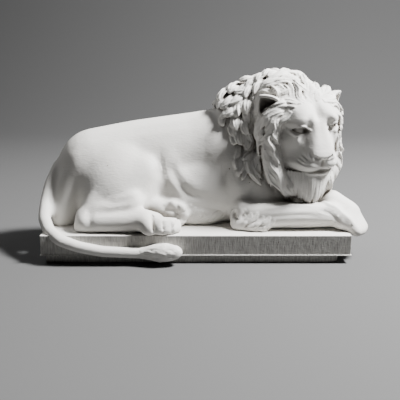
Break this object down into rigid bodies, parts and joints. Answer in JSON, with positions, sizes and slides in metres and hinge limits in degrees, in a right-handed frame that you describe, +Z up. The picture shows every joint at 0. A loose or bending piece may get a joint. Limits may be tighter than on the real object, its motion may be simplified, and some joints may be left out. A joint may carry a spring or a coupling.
{
  "type": "guardian lion figurine",
  "caption": "Recumbent lion with a full mane, forepaws forward and tail swept round, cast in one piece with its stepped rectangular plinth.",
  "frame": {"origin": "centre of the plinth slab's length and depth, on the underside that the casting stands on", "axes": "+X along the plinth towards the forepaws, +Y away from the side that the head turns to, +Z up"},
  "size_m": [0.3307, 0.1386, 0.1822],
  "materials": {
    "plaster": "matte off-white cast plaster with fine grain, brush marks and a few pinholes"
  },
  "bodies": {
    "root": {"lion_on_plinth": "plaster"}
  },
  "joints": []
}
